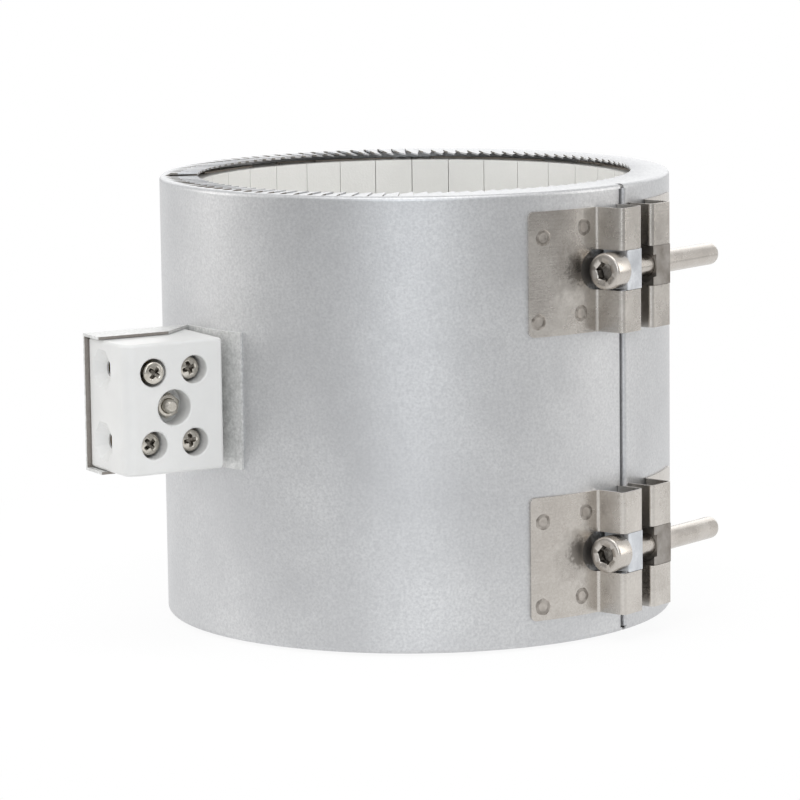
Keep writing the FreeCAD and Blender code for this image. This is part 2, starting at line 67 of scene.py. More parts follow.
# Camera: a long lens, a little above the rim, as the photograph was taken
cameraSetup = {
    "place": (0.0, -1.4713, 0.2212),
    "turnDegrees": (81.273, 0.7256, 0.1344),
    "lens": 178.97,
    "sensor": 36.0,
    "clip": (0.05, 60.0),
}


def linkObject(name, data):
    item = bpy.data.objects.new(name, data)
    bpy.context.scene.collection.objects.link(item)
    return item


def makeCamera(setup):
    lens = bpy.data.cameras.new("studioCamera")
    lens.lens = setup["lens"]
    lens.sensor_width = setup["sensor"]
    lens.clip_start, lens.clip_end = setup["clip"]
    camera = linkObject("studioCamera", lens)
    camera.location = setup["place"]
    camera.rotation_euler = [math.radians(angle) for angle in setup["turnDegrees"]]
    bpy.context.scene.camera = camera


makeCamera(cameraSetup)
bpy.context.scene.view_settings.view_transform = "Standard"
print("camera placed")


# Node helpers
def addNode(tree, kind, **settings):
    node = tree.nodes.new(kind)
    for name, value in settings.items():
        setattr(node, name, value)
    return node


def isSocket(value):
    return hasattr(value, "is_output")


def feedSocket(tree, socket, value):
    # A link where the value is another node's socket, and else the value itself
    if isSocket(value):
        tree.links.new(value, socket)
    else:
        socket.default_value = value


def setInputs(tree, node, values):
    for name, value in values.items():
        feedSocket(tree, node.inputs[name], value)
    return node


def mathNode(tree, operation, first, second):
    node = addNode(tree, "ShaderNodeMath", operation=operation)
    return setInputs(tree, node, {0: first, 1: second}).outputs[0]


def vectorNode(tree, operation, first, second=(0.0, 0.0, 0.0)):
    node = addNode(tree, "ShaderNodeVectorMath", operation=operation)
    return setInputs(tree, node, {0: first, 1: second})


def rangeNode(tree, value, fromLow, fromHigh, toLow, toHigh):
    node = addNode(tree, "ShaderNodeMapRange", clamp=True)
    return setInputs(tree, node, {
        "Value": value, "From Min": fromLow, "From Max": fromHigh,
        "To Min": toLow, "To Max": toHigh}).outputs[0]


def mixColour(tree, factor, first, second):
    node = addNode(tree, "ShaderNodeMix", data_type="RGBA")
    setInputs(tree, node, {"Factor": factor})
    colours = [socket for socket in node.inputs if socket.type == "RGBA"]
    for socket, value in zip(colours, (first, second)):
        feedSocket(tree, socket, value if isSocket(value) else (*value, 1.0))
    return next(socket for socket in node.outputs if socket.type == "RGBA")


def objectPlace(tree):
    return addNode(tree, "ShaderNodeTexCoord").outputs["Object"]


def newGroup(name, inputs, outputs):
    group = bpy.data.node_groups.new(name, "ShaderNodeTree")
    for label, value in inputs.items():
        kind = "NodeSocketVector" if isinstance(value, tuple) else "NodeSocketFloat"
        socket = group.interface.new_socket(name=label, in_out="INPUT", socket_type=kind)
        socket.default_value = value
    for label in outputs:
        group.interface.new_socket(name=label, in_out="OUTPUT", socket_type="NodeSocketFloat")
    return group, addNode(group, "NodeGroupInput"), addNode(group, "NodeGroupOutput")


def useGroup(tree, group, values):
    return setInputs(tree, addNode(tree, "ShaderNodeGroup", node_tree=group), values)


# Shared effects; fromTo is the part of the noise that is used and what the mask makes of it
noises = {
    "speckle": {"detail": 2.0, "roughness": 0.6, "fromTo": (0.3, 0.7, 0.0, 1.0)},
    "patches": {"detail": 5.0, "roughness": 0.55, "fromTo": (0.3, 0.7, 0.0, 1.0)},
    "lines": {"detail": 3.0, "roughness": 0.65, "fromTo": (0.32, 0.68, 0.0, 1.0)},
    "ragged": {"detail": 4.0, "roughness": 0.6, "fromTo": (0.3, 0.7, -0.35, 0.35)},
}
stainAndShadeFade = (0.6, 1.1)


def noiseMask(tree, place, scale, noise):
    texture = setInputs(tree, addNode(tree, "ShaderNodeTexNoise"), {
        "Vector": place, "Scale": scale,
        "Detail": noise["detail"], "Roughness": noise["roughness"]})
    return rangeNode(tree, texture.outputs["Fac"], *noise["fromTo"])


def makeFineGrain():
    # Small even speckle over broad soft patches, as on coated sheet and fired ceramic
    group, given, result = newGroup(
        "fineGrain", {"Speckle Scale": 900.0, "Patch Scale": 40.0}, ("Speckle", "Patches"))
    place = objectPlace(group)
    speckle = noiseMask(group, place, given.outputs["Speckle Scale"], noises["speckle"])
    patches = noiseMask(group, place, given.outputs["Patch Scale"], noises["patches"])
    setInputs(group, result, {"Speckle": speckle, "Patches": patches})
    return group


def makeRolledLines():
    # Long faint lines from rolling or turning, with their own scale on each axis
    group, given, result = newGroup("rolledLines", {"Stretch": (25.0, 25.0, 1200.0)}, ("Lines",))
    scaled = vectorNode(group, "MULTIPLY", objectPlace(group), given.outputs["Stretch"])
    lines = noiseMask(group, scaled.outputs[0], 1.0, noises["lines"])
    setInputs(group, result, {"Lines": lines})
    return group


def makeRoundStainAndShade():
    # A ragged round darkening about a point, strongest in its middle, used for a stain and for
    # painted shade; reach is in metres
    group, given, result = newGroup(
        "roundStainAndShade", {"Middle": (0.0, 0.0, 0.0), "Reach": 0.01, "Ragged": 500.0}, ("Mask",))
    place = objectPlace(group)
    gap = vectorNode(group, "DISTANCE", place, given.outputs["Middle"]).outputs["Value"]
    share = mathNode(group, "DIVIDE", gap, given.outputs["Reach"])
    ragged = noiseMask(group, place, given.outputs["Ragged"], noises["ragged"])
    mask = rangeNode(group, mathNode(group, "ADD", share, ragged), *stainAndShadeFade, 1.0, 0.0)
    setInputs(group, result, {"Mask": mask})
    return group


fineGrain = makeFineGrain()
rolledLines = makeRolledLines()
roundStainAndShade = makeRoundStainAndShade()


def blankMaterial(name):
    material = bpy.data.materials.new(name)
    material.use_nodes = True
    material.node_tree.nodes.clear()
    return material, material.node_tree


def surfaceMaterial(name, look):
    # A finish from soft patches, fine speckle, rolled lines and any round marks: stains and painted
    # shade
    material, tree = blankMaterial(name)
    grain = useGroup(tree, fineGrain, {
        "Speckle Scale": look["speckleScale"], "Patch Scale": look["patchScale"]})
    speckle, patches = grain.outputs["Speckle"], grain.outputs["Patches"]
    lines = useGroup(tree, rolledLines, {"Stretch": look["lineStretch"]}).outputs["Lines"]
    speckleShare = mathNode(tree, "MULTIPLY", speckle, look["speckle"])
    lineShare = mathNode(tree, "MULTIPLY", lines, look["lines"])

    colour = mixColour(tree, patches, look["dark"], look["light"])
    colour = mixColour(tree, speckleShare, colour, look["speckleColour"])
    colour = mixColour(tree, lineShare, colour, look["lineColour"])
    for stainAndShadeMark in look["stainsAndShade"]:
        mark = useGroup(tree, roundStainAndShade, {
            "Middle": stainAndShadeMark["middle"], "Reach": stainAndShadeMark["reach"], "Ragged": stainAndShadeMark["ragged"]})
        share = mathNode(tree, "MULTIPLY", mark.outputs["Mask"], stainAndShadeMark["share"])
        colour = mixColour(tree, share, colour, stainAndShadeMark["colour"])

    uneven = mathNode(tree, "ADD", lineShare, patches)
    smoothest = look["roughness"] - look["roughnessSpread"]
    roughest = look["roughness"] + look["roughnessSpread"]
    height = mathNode(tree, "ADD", mathNode(tree, "MULTIPLY", speckle, look["speckleHeight"]),
                      mathNode(tree, "MULTIPLY", lines, look["lineHeight"]))
    bump = setInputs(tree, addNode(tree, "ShaderNodeBump"), {
        "Height": height, "Strength": look["bump"], "Distance": look["bumpDistance"]})

    shader = setInputs(tree, addNode(tree, "ShaderNodeBsdfPrincipled"), {
        "Base Color": colour,
        "Metallic": look["metallic"],
        "Roughness": rangeNode(tree, uneven, 0.0, 1.0 + look["lines"], smoothest, roughest),
        "Specular IOR Level": look["gloss"],
        "Normal": bump.outputs[0],
    })
    output = addNode(tree, "ShaderNodeOutputMaterial")
    setInputs(tree, output, {"Surface": shader.outputs[0]})
    return material


bareSteel = {
    "metallic": 1.0, "roughness": 0.3, "roughnessSpread": 0.06, "gloss": 0.5,
    "dark": (0.50, 0.47, 0.43), "light": (0.63, 0.60, 0.56), "patchScale": 70.0,
    "speckle": 0.2, "speckleColour": (0.34, 0.31, 0.28), "speckleScale": 1100.0,
    "lines": 0.2, "lineColour": (0.42, 0.39, 0.35), "lineStretch": (25.0, 25.0, 1200.0),
    "speckleHeight": 0.6, "lineHeight": 0.4, "bump": 0.12, "bumpDistance": 0.0002,
    "stainsAndShade": (),
}
firedClay = {
    **bareSteel, "metallic": 0.0, "roughness": 0.7, "roughnessSpread": 0.05, "gloss": 0.3,
    "dark": (0.82, 0.815, 0.79), "light": (0.88, 0.875, 0.85), "patchScale": 35.0,
    "speckle": 0.12, "speckleColour": (0.72, 0.70, 0.66), "speckleScale": 1300.0,
    "lines": 0.0, "lineHeight": 0.0, "bump": 0.2,
}


# Places round the band: azimuth in degrees from -Y towards +X, as the CAD has it
band = {
    "gapAzimuth": 51.7,
    "terminalAzimuth": -60.4,
    "shellRadius": 94.4,
    "plateRadius": 95.2,
    "halfWidth": 81.25,
    "sheet": 0.6,
}
gapFrame = Matrix.Rotation(math.radians(band["gapAzimuth"]), 4, "Z")
terminalFrame = Matrix.Rotation(math.radians(band["terminalAzimuth"]), 4, "Z")


def movedFrame(start, x, y, z):
    return start @ Matrix.Translation(Vector((x, y, z)) * mm)


def aroundBand(radius, azimuth, height):
    turn = math.radians(azimuth)
    return Vector((radius * math.sin(turn), -radius * math.cos(turn), height)) * mm


def middleHeight(node):
    low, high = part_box(node)
    return (low.z + high.z) / 2 / mm


# These marks are painted shade beside each screw head, plus one real smudge above
def clampStainsAndShade(radius, marks):
    # The same marks beside both clamps, placed from the gap and from each screw's height
    stainsAndShade = []
    for name in clampNames:
        height = middleHeight("clamp_screw_" + name)
        for mark in marks:
            azimuth = band["gapAzimuth"] + mark["azimuth"]
            middle = aroundBand(radius, azimuth, height + mark["rise"])
            stainsAndShade.append({**mark, "middle": tuple(middle)})
    return tuple(stainsAndShade)


# Mesh helpers; shapes are given in millimetres in a local frame
def makePiece(name, points, faces, material, place=Matrix.Identity(4), sharpDegrees=38.0,
              closed=True):
    mesh = bpy.data.meshes.new(name)
    mesh.from_pydata([place @ (Vector(point) * mm) for point in points], [], faces)
    if closed:
        work = bmesh.new()
        work.from_mesh(mesh)
        bmesh.ops.recalc_face_normals(work, faces=work.faces)
        work.to_mesh(mesh)
        work.free()
    mesh.shade_smooth()
    mesh.set_sharp_from_angle(angle=math.radians(sharpDegrees))
    mesh.materials.append(material)
    return linkObject(name, mesh)


def paintFaces(piece, material, isChosen):
    # A second finish on the faces that are chosen
    piece.data.materials.append(material)
    for polygon in piece.data.polygons:
        if isChosen(polygon):
            polygon.material_index = 1


def seatPiece(piece, body, slotName, *nodes):
    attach(piece, body)
    if nodes:
        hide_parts(*nodes)
    return piece


def joinRings(rings, loop=False):
    # Rings of points joined by quads; a ring of one point is a closed end
    points, faces, starts = [], [], []
    for ring in rings:
        starts.append(len(points))
        points += ring
    pairs = list(zip(range(len(rings)), range(1, len(rings))))
    if loop:
        pairs.append((len(rings) - 1, 0))
    for first, second in pairs:
        count = max(len(rings[first]), len(rings[second]))
        a, b = starts[first], starts[second]
        for index in range(count):
            after = (index + 1) % count
            if len(rings[first]) == 1:
                faces.append((a, b + after, b + index))
            elif len(rings[second]) == 1:
                faces.append((a + index, a + after, b))
            else:
                faces.append((a + index, a + after, b + after, b + index))
    return points, faces


ringPoints = 96


def ringAlongX(x, reach, sides=0, turnDegrees=0.0):
    # A ring about the X axis: round, or with flats when sides are given and reach is to a flat
    if reach == 0:
        return [(x, 0.0, 0.0)]
    ring = []
    for index in range(ringPoints):
        turn = 2 * math.pi * index / ringPoints
        radius = reach
        if sides:
            wedge = 2 * math.pi / sides
            radius = reach / math.cos((turn - math.radians(turnDegrees)) % wedge - wedge / 2)
        ring.append((x, radius * math.cos(turn), radius * math.sin(turn)))
    return ring


def quarterTurn(steps, first=1):
    # The sine and cosine at even steps over a quarter turn
    turns = [math.pi / 2 * step / steps for step in range(first, steps + 1)]
    return [(math.sin(turn), math.cos(turn)) for turn in turns]


# Housing: the folded sheet with its ring of louvred tabs, top and bottom
housingShape = {
    "endBend": 1.5,
    "endBendSteps": 4,
    "gap": 2.0,
    "flangeEnd": 82.0,
    "foldRadius": 1.5,
    "foldSteps": 6,
    "foldStepsPerTab": 3,
    "tabRoot": 92.4,
    "tabTip": 80.3,
    "tabs": 105,
    "tabSlit": 0.3,
    "tabSteps": 5,
    # How far each tab's far side rises and its near side dips, by azimuth round the band
    "rises": {0: 0.42, 60: 0.36, 110: 0.4, 145: 0.5, 180: 0.8, 195: 0.7,
              215: 0.3, 240: 0.16, 270: 0.13, 290: 0.24, 315: 0.38, 360: 0.42},
    "dips": {0: 0.43, 60: 0.4, 110: 0.55, 145: 0.8, 180: 1.15, 195: 0.9,
             215: 0.4, 240: 0.2, 270: 0.15, 290: 0.26, 315: 0.38, 360: 0.43},
    "uneven": 0.3,
    # Where this is 1 the twist comes at the tab's root and falls off to its tip
    "rootHeavy": {0: 0.3, 150: 0.0, 190: 0.2, 225: 0.5, 270: 0.5, 295: 1.0,
                  320: 1.0, 345: 0.4, 360: 0.3},
    "rootRamp": 0.2,
    "tipFall": 0.45,
    "tipLift": 0.6,
    "curl": 1.3,
    # How much of the far sheared side gets painted shade, and how much of the tip keeps the plain
    # finish
    "darkSide": 0.6,
    "darkTip": 0.45,
    "liftedTab": 64,
    "liftedRise": 1.5,
    "stepsRound": 360,
    "sharpDegrees": 40.0,
    "seed": 7,
}
housingLook = {
    **bareSteel, "metallic": 0.9, "roughness": 0.42, "roughnessSpread": 0.03,
    "dark": (0.56, 0.565, 0.575), "light": (0.695, 0.70, 0.705), "patchScale": 24.0,
    "speckle": 0.6, "speckleColour": (0.45, 0.455, 0.47),
    "lines": 0.0, "lineHeight": 0.0, "bump": 0.15, "bumpDistance": 0.00025,
    # Painted shade on the sheet in each left strap's slot, where the strap and the screw head shade
    # it
    "stainsAndShade": clampStainsAndShade(band["shellRadius"], [
        {"azimuth": -12.5, "rise": 0.0, "reach": 0.0085, "ragged": 420.0, "share": 0.9,
         "colour": (0.12, 0.11, 0.10)},
    ]),
}
# Dark finish that paints shade on the tabs' undersides and on the ends of their sheared sides
tabShadeLook = {
    **bareSteel, "metallic": 0.8, "roughness": 0.55, "patchScale": 300.0,
    "dark": (0.16, 0.145, 0.13), "light": (0.34, 0.32, 0.295), "lines": 0.0,
}


def valueAt(table, azimuth):
    # Between the two nearest azimuths that the table names
    keys = sorted(table)
    for low, high in zip(keys, keys[1:]):
        if azimuth <= high:
            return table[low] + (table[high] - table[low]) * (azimuth - low) / (high - low)
    return table[keys[-1]]


def tabAzimuth(shape, index):
    return (band["gapAzimuth"] + 360 * (index + 0.5) / shape["tabs"]) % 360


def halfGapDegrees(shape):
    return math.degrees(math.asin(shape["gap"] / 2 / shape["tabRoot"]))


def wallPath(radius, bend, wallX, shape):
    # Half of the barrel's section, from the end flange round its bend to the far side
    points = [(wallX, shape["flangeEnd"])]
    centreX = wallX + bend
    centreY = math.sqrt((radius - bend) ** 2 - centreX ** 2)
    outward = math.atan2(centreX, centreY)
    for step in range(shape["endBendSteps"] + 1):
        turn = -math.pi / 2 + (outward + math.pi / 2) * step / shape["endBendSteps"]
        points.append((centreX + bend * math.sin(turn), centreY + bend * math.cos(turn)))
    steps = shape["stepsRound"] // 2
    for step in range(1, steps + 1):
        turn = outward + (math.pi - outward) * step / steps
        points.append((radius * math.sin(turn), radius * math.cos(turn)))
    return points


def housingWall(shape):
    radius, bend, wallX = band["shellRadius"], shape["endBend"], shape["gap"] / 2
    sheet = band["sheet"]
    outer = wallPath(radius, bend, wallX, shape)
    inner = wallPath(radius - sheet, bend - sheet, wallX + sheet, shape)
    section = outer + [(-x, y) for x, y in reversed(outer[:-1])]
    section += [(-x, y) for x, y in inner] + [(x, y) for x, y in reversed(inner[:-1])]
    edge = band["halfWidth"] - shape["foldRadius"]
    heights = (-edge, -edge / 3, edge / 3, edge)
    points, faces = joinRings([[(x, -y, height) for x, y in section] for height in heights])
    # The wall's own thickness is closed at the lowest ring and at the highest one
    around = len(section)
    for start, flip in ((0, False), ((len(heights) - 1) * around, True)):
        for index in range(around // 2 - 1):
            across = start + around - 1 - index
            quad = (start + index, start + index + 1, across - 1, across)
            faces.append(quad[::-1] if flip else quad)
    return points, faces


def foldRings(shape, sign):
    # The quarter turn at an edge and the flat ring inside it, as one closed ribbon
    sheet, fold = band["sheet"], shape["foldRadius"]
    centre = band["shellRadius"] - fold
    base = band["halfWidth"] - fold
    turns = quarterTurn(shape["foldSteps"], first=0)
    inside = fold - sheet
    profile = [(centre + fold * cosine, base + fold * sine) for sine, cosine in turns]
    profile.append((shape["tabRoot"], band["halfWidth"]))
    profile.append((shape["tabRoot"], band["halfWidth"] - sheet))
    profile += [(centre + inside * cosine, base + inside * sine) for sine, cosine in turns[::-1]]
    start = halfGapDegrees(shape)
    rings = []
    count = shape["tabs"] * shape["foldStepsPerTab"]
    for step in range(count + 1):
        turn = math.radians(start + (360 - 2 * start) * step / count)
        rings.append([(r * math.sin(turn), -r * math.cos(turn), sign * z) for r, z in profile])
    points, faces = joinRings(rings)
    faces.append(tuple(range(len(profile))))
    faces.append(tuple(reversed(range(len(points) - len(profile), len(points)))))
    return points, faces


def tabPatch(shape, index, sign, rise, dip):
    # One tab, twisted so that its far side stands over the next tab
    heavy = valueAt(shape["rootHeavy"], tabAzimuth(shape, index))
    start = halfGapDegrees(shape)
    pitch = (360 - 2 * start) / shape["tabs"]
    slit = math.degrees(shape["tabSlit"] / 2 / shape["tabTip"])
    steps = shape["tabSteps"]
    top, bottom = [], []
    for i in range(steps + 1):
        out = i / steps
        radius = shape["tabRoot"] + (shape["tabTip"] - shape["tabRoot"]) * out
        ramp = min(1.0, out / shape["rootRamp"])
        fall = 1 - shape["tipFall"] * out
        twist = (1 - heavy) * out ** shape["tipLift"] + heavy * ramp * fall
        for j in range(steps + 1):
            side = j / steps
            low = start + index * pitch + slit * out
            azimuth = math.radians(low + (pitch - 2 * slit * out) * side)
            lift = twist * (-dip + (rise + dip) * side ** shape["curl"])
            x, y = radius * math.sin(azimuth), -radius * math.cos(azimuth)
            top.append((x, y, sign * (band["halfWidth"] + lift)))
            bottom.append((x, y, sign * (band["halfWidth"] + lift - band["sheet"])))
    count = len(top)
    row = steps + 1
    # Top faces keep the plain finish; the undersides go in cut, which gets painted shade
    plain, cut = [], []
    for i in range(steps):
        for j in range(steps):
            a = i * row + j
            plain.append((a, a + 1, a + row + 1, a + row))
            cut.append((count + a, count + a + row, count + a + row + 1, count + a + 1))
    # The sheared sides of the tab, each with the share of its length that keeps the plain finish;
    # the rest gets painted shade
    near = [i * row for i in range(row)]
    far = [i * row + steps for i in reversed(range(row))]
    tip = [steps * row + j for j in range(row)]
    plainShares = (1.0, 1 - shape["darkSide"], shape["darkTip"])
    for line, plainShare in zip((near, far, tip), plainShares):
        for step, (a, b) in enumerate(zip(line, line[1:])):
            faces = cut if step / steps > plainShare else plain
            faces.append((a, b, count + b, count + a))
    return top + bottom, plain, cut


def makeHousing(shape):
    chance = random.Random(shape["seed"])
    points, faces, shadedFaces = [], [], []

    def add(newPoints, plain, cut=()):
        base = len(points)
        points.extend(newPoints)
        faces.extend(tuple(base + corner for corner in face) for face in plain)
        shadedFaces.extend(tuple(base + corner for corner in face) for face in cut)

    add(*housingWall(shape))
    for sign in (1, -1):
        add(*foldRings(shape, sign))
        for index in range(shape["tabs"]):
            azimuth = tabAzimuth(shape, index)
            rise = valueAt(shape["rises"], azimuth) * (1 - shape["uneven"] * chance.random())
            dip = valueAt(shape["dips"], azimuth) * (1 - shape["uneven"] * chance.random())
            if sign == 1 and index == shape["liftedTab"]:
                rise = shape["liftedRise"]
            add(*tabPatch(shape, index, sign, rise, dip))
    sheetLook = surfaceMaterial("coatedSheet", housingLook)
    piece = makePiece(
        "housingSheet", points, faces + shadedFaces, sheetLook, gapFrame, shape["sharpDegrees"])
    # Painted shade on the tabs' undersides and on the shaded ends of their sheared sides
    tabPaintedShade = surfaceMaterial("sheetTabShade", tabShadeLook)
    paintFaces(piece, tabPaintedShade, lambda polygon: polygon.index >= len(faces))
    seatPiece(piece, "band", "housing_sheet", "housing")


makeHousing(housingShape)
print("housing made")


# Clamp screws: socket heads with a rounded tip
clampScrewShape = {
    "seat": -12.3,
    "axisRadius": 100.6,
    "head": (6.5, 8.0),  # radius, height
    "headRound": (0.9, 1.1),  # along the axis, across it
    "headRoundSteps": 4,
    "headEdge": 0.2,
    "socket": (6.0, 4.0),  # across flats, depth
    "socketTurn": 12,
    "socketPoint": 0.9,
    "socketMouth": (0.35, 0.62),  # depth, width
    "shank": (4.0, 60.0),  # radius, length
    "shankFillet": (0.35, 0.3),
    "tipRound": 2.4,
    "tipSteps": 6,
}
clampScrewLook = {
    **bareSteel, "roughness": 0.27, "dark": (0.52, 0.485, 0.445), "light": (0.64, 0.605, 0.565),
    "patchScale": 110.0, "lines": 0.1, "lineStretch": (900.0, 60.0, 60.0), "bump": 0.03,
}
# Near-black finish inside the hex socket: painted shade in the recess
socketShadeLook = {
    **clampScrewLook, "roughness": 0.22,
    "dark": (0.10, 0.095, 0.085), "light": (0.30, 0.28, 0.26), "patchScale": 500.0,
}


def clampScrewRings(shape):
    # The first three rings are the socket, from its drilled point to its mouth
    radius, headHeight = shape["head"]
    flats, depth = shape["socket"]
    shank, length = shape["shank"]
    mouthDepth, mouthWidth = shape["socketMouth"]
    roundDepth, roundWidth = shape["headRound"]
    filletDepth, filletWidth = shape["shankFillet"]
    face, edge, tip = -headHeight, shape["headEdge"], shape["tipRound"]
    flat = radius - roundWidth
    socket = {"sides": 6, "turnDegrees": shape["socketTurn"]}
    rings = [
        ringAlongX(face + depth + shape["socketPoint"], 0),
        ringAlongX(face + depth, flats / 2, **socket),
        ringAlongX(face + mouthDepth, flats / 2, **socket),
        ringAlongX(face, flats / 2 + mouthWidth),
        ringAlongX(face, flat),
    ]
    for sine, cosine in quarterTurn(shape["headRoundSteps"]):
        rings.append(ringAlongX(face + roundDepth * (1 - cosine), flat + roundWidth * sine))
    rings += [
        ringAlongX(-edge, radius),
        ringAlongX(0, radius - edge),
        ringAlongX(0, shank + filletWidth),
        ringAlongX(filletDepth, shank),
    ]
    for sine, cosine in quarterTurn(shape["tipSteps"], first=0):
        rings.append(ringAlongX(length - tip + tip * sine, shank - tip + tip * cosine))
    rings.append(ringAlongX(length, 0))
    return rings


def makeClampScrews(shape):
    steel = surfaceMaterial("clampScrewSteel", clampScrewLook)
    socketPaintedShade = surfaceMaterial("socketPaintedShade", socketShadeLook)
    socketEnd = 1 + 2 * ringPoints
    for name in clampNames:
        node = "clamp_screw_" + name
        place = movedFrame(gapFrame, shape["seat"], -shape["axisRadius"], middleHeight(node))
        rings = clampScrewRings(shape)
        piece = makePiece("clampScrew" + name.title(), *joinRings(rings), steel, place)
        # The socket's faces get the painted shade
        paintFaces(piece, socketPaintedShade, lambda polygon: max(polygon.vertices) < socketEnd)
        seatPiece(piece, node + "_body", "screw_steel", node)


makeClampScrews(clampScrewShape)
print("clamp screws made")


# Terminal screws: domed heads with a cross recess
terminalScrewShape = {
    "seat": 24.2,
    "tips": (14.3, 9.6),  # where the two nearer the barrel and the two outer ones end
    "head": (4.0, 2.6),
    "headRound": 0.8,
    "headRoundSteps": 5,
    "headEdge": 0.15,
    "dome": 0.4,
    "domeSteps": 18,
    "shank": 2.0,
    "threadStep": 0.35,
    "threadDepth": 0.22,
    "endChamfer": 0.4,
    "crossReach": 2.7,
    "crossHalfWidth": 0.62,
    "crossWall": (1.25, 0.4),  # where it ends and its width, as shares of the half width
    "crossEndSlope": 1.6,
    "crossDepth": 1.6,
    # How deep a face of the cross must be to get painted shade
    "shadeFrom": 0.35,
    "turns": (18.0, 52.0, 8.0, 40.0),
    "out": (0.0, 5.0, 0.0, 0.0),  # the second one stands loose in its well
    "reaches": (107.75, 123.75),  # from the middle of the band, nearer and outer
    "sharpDegrees": 50.0,
}
smallScrewLook = {
    **bareSteel, "roughness": 0.2, "dark": (0.52, 0.49, 0.43), "light": (0.76, 0.73, 0.67),
    "patchScale": 260.0, "speckle": 0.3, "lines": 0.0,
}
# Near-black finish on the deeper faces of the cross recess: painted shade
recessShadeLook = {
    **smallScrewLook, "roughness": 0.3, "dark": (0.07, 0.065, 0.055), "light": (0.24, 0.22, 0.19),
}


def crossRecess(y, z, shape, turnDegrees):
    # How deep the cross is at a place on the head, with sloping walls and arms that run out
    turn = math.radians(turnDegrees)
    a = abs(y * math.cos(turn) + z * math.sin(turn))
    b = abs(z * math.cos(turn) - y * math.sin(turn))
    narrow, wide = min(a, b), max(a, b)
    wallFoot, wallWidth = [share * shape["crossHalfWidth"] for share in shape["crossWall"]]
    inArm = max(0.0, min(1.0, (wallFoot - narrow) / wallWidth))
    reach = shape["crossReach"]
    toEnd = max(0.0, min(1.0, (reach - wide) / reach * shape["crossEndSlope"]))
    return shape["crossDepth"] * inArm * toEnd


def terminalScrewRings(shape, turnDegrees, tip):
    radius, height = shape["head"]
    rounding, edge, shank = shape["headRound"], shape["headEdge"], shape["shank"]
    flat = radius - rounding
    rings = [[(height - shape["crossDepth"], 0.0, 0.0)]]
    for step in range(1, shape["domeSteps"] + 1):
        share = step / shape["domeSteps"]
        dome = height - shape["dome"] * share ** 2
        ring = ringAlongX(0, flat * step / shape["domeSteps"])
        rings.append([(dome - crossRecess(y, z, shape, turnDegrees), y, z) for _, y, z in ring])
    shoulder = height - shape["dome"] - rounding
    for sine, cosine in quarterTurn(shape["headRoundSteps"]):
        rings.append(ringAlongX(shoulder + rounding * cosine, flat + rounding * sine))
    rings += [ringAlongX(edge, radius), ringAlongX(0, radius - edge), ringAlongX(0, shank)]
    length = shape["seat"] - tip
    pitch = shape["threadStep"]
    for step in range(1, int(length / pitch)):
        rings.append(ringAlongX(-pitch * step, shank - (shape["threadDepth"] if step % 2 else 0.0)))
    rings += [ringAlongX(-length, shank - shape["endChamfer"]), ringAlongX(-length, 0)]
    return rings


def makeTerminalScrews(shape, steel):
    recessPaintedShade = surfaceMaterial("crossRecessShade", recessShadeLook)
    for number, turnDegrees in enumerate(shape["turns"]):
        node = "terminal_screw_%d" % (number + 1)
        seat = shape["seat"] + shape["out"][number]
        place = movedFrame(terminalFrame, seat, -shape["reaches"][number % 2], middleHeight(node))
        rings = terminalScrewRings(shape, turnDegrees, shape["tips"][number % 2])
        piece = makePiece("terminalScrew%d" % (number + 1), *joinRings(rings), steel, place,
                          shape["sharpDegrees"])

        # Faces deep enough in the cross get the painted shade
        def inRecess(polygon):
            x, y, z = place.inverted() @ polygon.center / mm
            return x > 0 and crossRecess(y, z, shape, turnDegrees) > shape["shadeFrom"]

        paintFaces(piece, recessPaintedShade, inRecess)
        seatPiece(piece, node + "_body", "small_screw_steel", node)


smallScrewSteel = surfaceMaterial("terminalScrewSteel", smallScrewLook)
makeTerminalScrews(terminalScrewShape, smallScrewSteel)
print("terminal screws made")


# Fixing screw and nut in the block's middle well
fixingShape = {
    "reach": 115.75,
    "thread": (2.5, 0.8, 0.28),  # radius, pitch, depth
    "tip": 28.8,
    "tipChamfer": 0.8,
    "head": (4.4, 3.0),
    "headCurve": (0.25, 0.75),  # the straight and the domed share of its height
    "headSteps": 6,
    "headEdge": 0.1,
}
nutShape = {
    "flats": 8.0,
    "height": 4.0,
    "seat": 21.8,
    "turnDegrees": 20,
    "holeClearance": 0.05,
    "seatInset": 0.1,
    "seatChamfer": 0.3,
    "crown": (0.45, 0.15),  # how far below the top it starts and is half way
    "crownInset": (0.35, 0.3),
    "countersink": 0.35,
}


def fixingScrewRings(shape):
    radius, pitch, depth = shape["thread"]
    headRadius, headHeight = shape["head"]
    low, curved = shape["headCurve"]
    tip, chamfer = shape["tip"], shape["tipChamfer"]
    rings = [ringAlongX(-headHeight, 0)]
    for sine, cosine in quarterTurn(shape["headSteps"]):
        rings.append(ringAlongX(-headHeight * (low + curved * cosine), headRadius * sine))
    rings += [ringAlongX(0, headRadius - shape["headEdge"]), ringAlongX(0, radius)]
    steps = int((tip - chamfer) / (pitch / 2))
    for step in range(1, steps + 1):
        rings.append(ringAlongX(step * pitch / 2, radius - (depth if step % 2 else 0.0)))
    rings += [ringAlongX(tip, radius - chamfer), ringAlongX(tip, 0)]
    return rings


